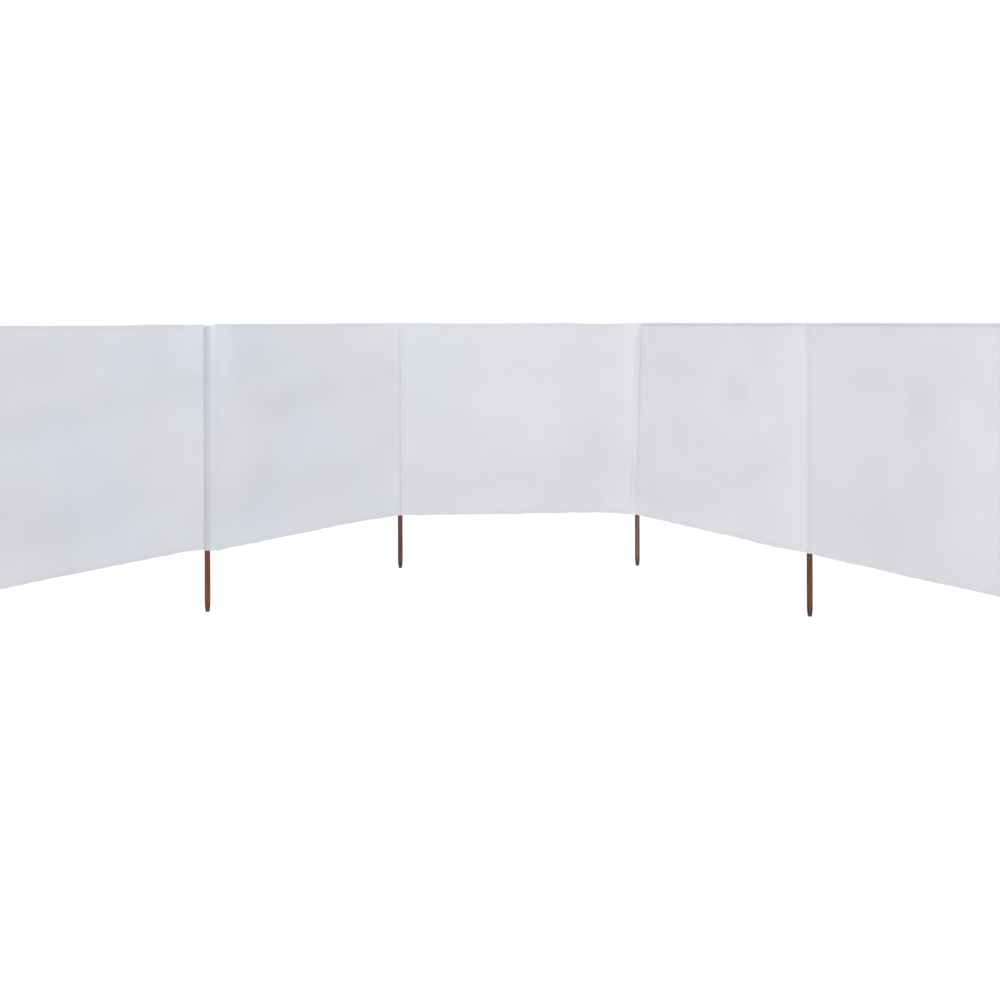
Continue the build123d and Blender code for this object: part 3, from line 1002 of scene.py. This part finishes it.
def wood_material(name, seed, stain, worn_and_painted_shade):
    """Stained wood: stain is its usual colour, worn the colour where the stain has gone grey or red."""
    m, nt = material(name)
    N = Net(nt)
    out = N.node("ShaderNodeOutputMaterial")
    tc = N.node("ShaderNodeTexCoord").outputs["Object"]
    sep = N.node("ShaderNodeSeparateXYZ")
    N.link(tc, sep.inputs[0])
    x, y, z = sep.outputs
    wob = N.noise(N.combine(x, y, N.math("MULTIPLY", z, 0.35)), 9.0, 2.0)
    grain_vec = N.combine(N.math("ADD", x, N.math("MULTIPLY", wob, 0.006)), N.math("ADD", y, seed), N.math("MULTIPLY", z, 0.030))
    grain = N.noise(grain_vec, 420.0, 3.0, 0.6)
    fine = N.noise(N.combine(x, y, N.math("MULTIPLY", z, 0.02)), 1500.0, 2.0, 0.6)
    patch = N.noise(N.combine(x, y, N.math("ADD", z, seed * 3.0)), 16.0, 2.0)
    tint = N.mix(N.range(patch, 0.38, 0.66, 0.0, 1.0), (*stain, 1), (*worn_and_painted_shade, 1))
    col = N.mix(1.0, tint, N.mix(N.range(grain, 0.32, 0.70, 0, 1), (0.68, 0.64, 0.62, 1), (1.32, 1.36, 1.38, 1)), "MULTIPLY")
    col = N.mix(N.range(fine, 0.45, 0.75, 0, 0.35), col, (0.050, 0.024, 0.017, 1))
    # the tip is darker, where the point is worn and has taken up dirt
    dirt = N.noise(tc, 160.0, 3.0)
    low = N.range(N.math("ADD", z, N.math("MULTIPLY", dirt, 0.030)), 0.022, 0.062, 1.0, 0.0, "SMOOTHSTEP")
    col = N.mix(N.math("MULTIPLY", low, 0.62), col, (0.052, 0.036, 0.030, 1))
    p = N.node("ShaderNodeBsdfPrincipled")
    N.link(col, p.inputs["Base Color"])
    N.link(N.range(grain, 0.2, 0.8, 0.72, 0.56), p.inputs["Roughness"])
    p.inputs["Specular IOR Level"].default_value = 0.12
    b = N.node("ShaderNodeBump")
    b.inputs["Strength"].default_value = 0.5
    b.inputs["Distance"].default_value = 0.0004
    N.link(N.math("ADD", grain, N.math("MULTIPLY", fine, 0.5)), b.inputs["Height"])
    N.link(b.outputs[0], p.inputs["Normal"])
    N.link(p.outputs[0], out.inputs[0])
    return m


# each post took the stain a little differently: its usual colour, and its worn colour
STAIN = {
    1: ((0.150, 0.055, 0.036), (0.140, 0.068, 0.054)),
    2: ((0.168, 0.056, 0.034), (0.158, 0.058, 0.040)),
    3: ((0.116, 0.053, 0.040), (0.124, 0.062, 0.050)),
    4: ((0.160, 0.092, 0.068), (0.170, 0.096, 0.092)),
    5: ((0.128, 0.054, 0.030), (0.118, 0.048, 0.034)),
    6: ((0.140, 0.058, 0.036), (0.132, 0.066, 0.052)),
}
WHITE = np.array((0.800, 0.800, 0.838))
cloth = cloth_material("white_cloth", WHITE, 0.15, 1.0)
# painted shade: the hem cloth is drawn a little darker, so the doubled edge shows darker through the cloth
cloth_hem = cloth_material("white_cloth_hem", WHITE * 0.97, 0.15, 2.0)
# the sleeves are cut from the same cloth, here thinner and there denser; each one's gain is painted light, lifting its
# colour against the shade of the post and of the tube behind its front
SLEEVE_LOOK = {1: (1.03, 0.18), 2: (1.183, 0.42), 3: (1.083, 0.24), 4: (1.068, 0.18), 5: (1.057, 0.22), 6: (1.03, 0.18)}
cloth_sleeves = {
    k: cloth_material(f"white_cloth_sleeve_{k}", WHITE * g * (1.0, 1.0, 0.993), t, 1.0) for k, (g, t) in SLEEVE_LOOK.items()
}
thread = thread_material()
MATS = {"cloth": cloth, "hem": cloth_hem, "thread": thread}

for ob, body, kind in pieces:
    ob.data.materials.append(MATS[kind])
    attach(ob, body)
for k, (ob, left, right, ends) in sleeves.items():
    ob.data.materials.append(cloth_sleeves[k])
    if left and right:
        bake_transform(ob)
    else:
        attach(ob, POST_BODY[k])
    threads = sleeve_threads[k]
    threads.data.materials.append(thread)
    if left and right:
        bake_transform(threads)
    else:
        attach(threads, POST_BODY[k])
for k in POST:
    node = nodes[f"post_{k}"]
    node.data.materials.clear()
    node.data.materials.append(wood_material(f"stained_wood_{k}", 0.137 * k, *STAIN[k]))

for i in BAYS:
    _, a, b = BAYS[i]

# ------------------------------------------------------------------ floor and light
floor_z = min(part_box(f"post_{k}")[0].z for k in POST) - 0.0005
R = 60.0
floor = new_object("floor", [(-R, -R, floor_z), (R, -R, floor_z), (R, R, floor_z), (-R, R, floor_z)], [[0, 1, 2, 3]])
fm, nt = material("pale_floor")
N = Net(nt)
out = N.node("ShaderNodeOutputMaterial")
tc = N.node("ShaderNodeTexCoord").outputs["Object"]
fcol = N.mix(N.noise(tc, 2.0, 3.0), (0.90, 0.90, 0.90, 1), (0.93, 0.93, 0.93, 1))
fp = N.node("ShaderNodeBsdfDiffuse")
N.link(fcol, fp.inputs["Color"])
glow = N.node("ShaderNodeEmission")
glow.inputs["Color"].default_value = (1, 1, 1, 1)
glow.inputs["Strength"].default_value = 0.18
add = N.node("ShaderNodeAddShader")
N.link(fp.outputs[0], add.inputs[0])
N.link(glow.outputs[0], add.inputs[1])
N.link(add.outputs[0], out.inputs[0])
floor.data.materials.append(fm)

world = bpy.data.worlds.new("studio")
bpy.context.scene.world = world
world.use_nodes = True
bg = world.node_tree.nodes["Background"]
bg.inputs["Color"].default_value = (1.0, 1.0, 1.0, 1)
bg.inputs["Strength"].default_value = 1.005


def area(name, place, aim, size, power, colour=(1, 1, 1)):
    ld = bpy.data.lights.new(name, "AREA")
    ld.shape = "DISK"
    ld.size = size
    ld.energy = power
    ld.color = colour
    ob = bpy.data.objects.new(name, ld)
    bpy.context.scene.collection.objects.link(ob)
    ob.location = place
    ob.rotation_mode = "QUATERNION"
    ob.rotation_quaternion = (Vector(aim) - Vector(place)).to_track_quat("-Z", "Y")
    return ob


area("key", (-2.4, -6.6, 5.2), (0.4, -0.5, 0.6), 2.6, 100)

scene = bpy.context.scene
scene.view_settings.view_transform = "Standard"
scene.view_settings.look = "None"

# ------------------------------------------------------------------ camera
cam_data = bpy.data.cameras.new("camera")
cam = bpy.data.objects.new("camera", cam_data)
bpy.context.scene.collection.objects.link(cam)
bpy.context.scene.camera = cam
cam_data.sensor_width = 36.0
cam_data.lens = 36.0 * 1.214
cam_data.shift_x = 0.0496
cam_data.shift_y = -0.1805
cam_data.clip_start, cam_data.clip_end = 0.05, 300.0
yaw, roll = math.radians(1.98), math.radians(-0.1813)
# level, looking along +Y, turned a little so that the middle bay recedes to the right
level = Matrix.Rotation(-yaw, 4, "Z") @ Matrix.Rotation(math.radians(90), 4, "X") @ Matrix.Rotation(roll, 4, "Z")
cam.matrix_world = Matrix.Translation((0.0369, -5.0547, 1.0320)) @ level
